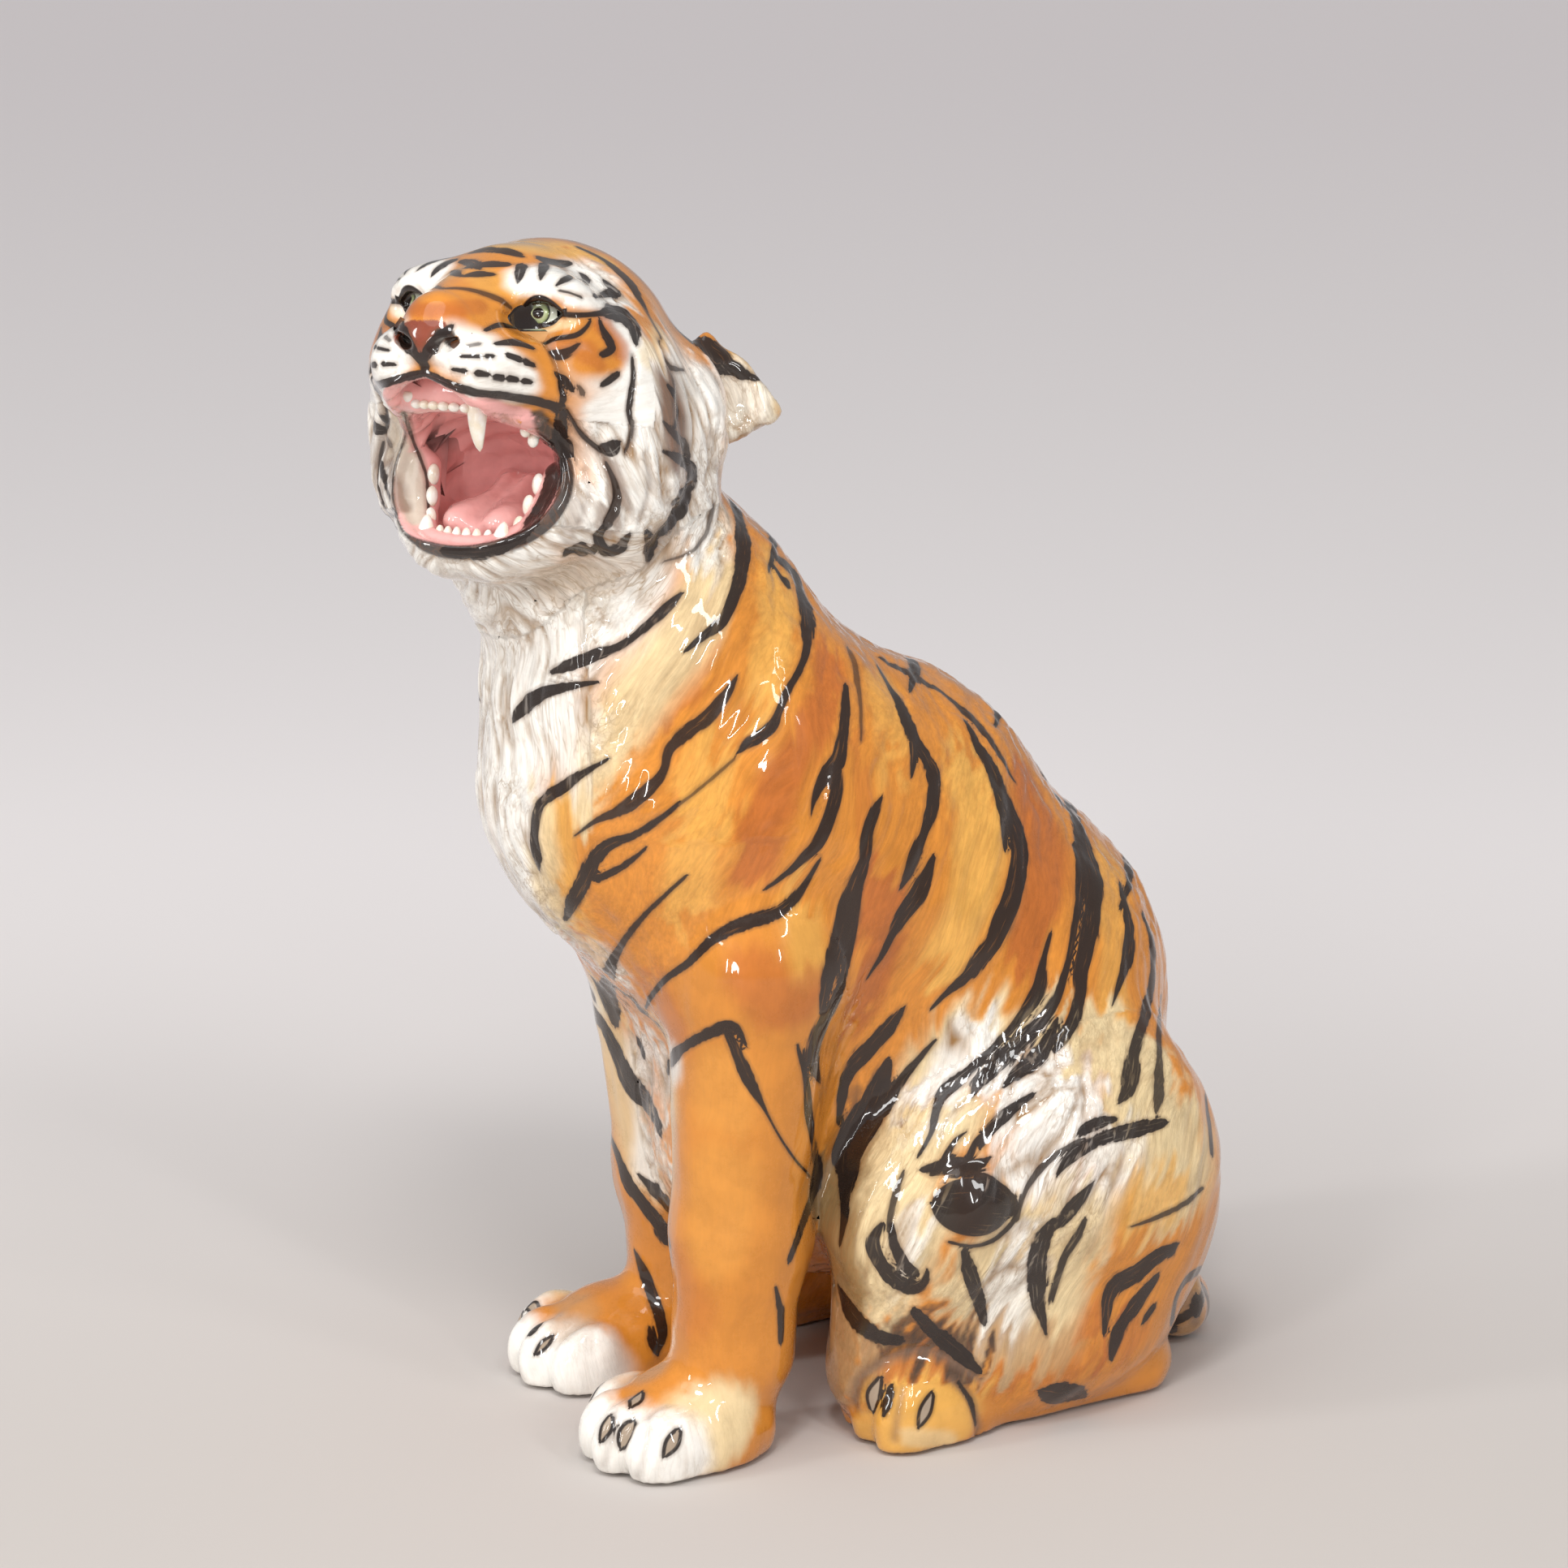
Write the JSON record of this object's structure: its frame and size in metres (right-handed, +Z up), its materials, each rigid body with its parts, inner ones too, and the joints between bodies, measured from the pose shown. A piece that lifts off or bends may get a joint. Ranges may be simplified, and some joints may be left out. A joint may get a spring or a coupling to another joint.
{
  "type": "ceramic tiger figurine",
  "caption": "Hollow glazed ceramic figurine of a seated tiger, head turned and mouth open in a roar, built from luted castings with set teeth, tongue and felt pads.",
  "frame": {"origin": "middle of the figure's bounding box, on the surface that it stands on", "axes": "+Z up, -Y the way the body faces, +X towards the tiger's left side"},
  "size_m": [0.2386, 0.4416, 0.5619],
  "materials": {
    "coat_glaze": "gloss glaze over brushed stripes",
    "face_glaze": "gloss glaze over brushed marks",
    "mouth_glaze": "wet-looking pink gloss glaze",
    "tooth_glaze": "white gloss glaze",
    "felt": "black felt"
  },
  "bodies": {
    "root": {"torso": "coat_glaze", "head": "face_glaze", "lower_jaw": "face_glaze", "mouth_lining": "mouth_glaze", "tongue": "mouth_glaze", "upper_incisors": "tooth_glaze", "upper_canine_left": "tooth_glaze", "upper_canine_right": "tooth_glaze", "lower_incisors": "tooth_glaze", "lower_canine_left": "tooth_glaze", "lower_canine_right": "tooth_glaze", "upper_cheek_teeth_left": "tooth_glaze", "upper_cheek_teeth_right": "tooth_glaze", "lower_cheek_teeth_left": "tooth_glaze", "lower_cheek_teeth_right": "tooth_glaze", "ear_left": "face_glaze", "ear_right": "face_glaze", "foreleg_left": "coat_glaze", "foreleg_right": "coat_glaze", "haunch_left": "coat_glaze", "haunch_right": "coat_glaze", "hind_foot_left": "coat_glaze", "hind_foot_right": "coat_glaze", "tail": "coat_glaze", "felt_fore_left": "felt", "felt_fore_right": "felt", "felt_hind_left": "felt", "felt_hind_right": "felt"}
  },
  "joints": []
}
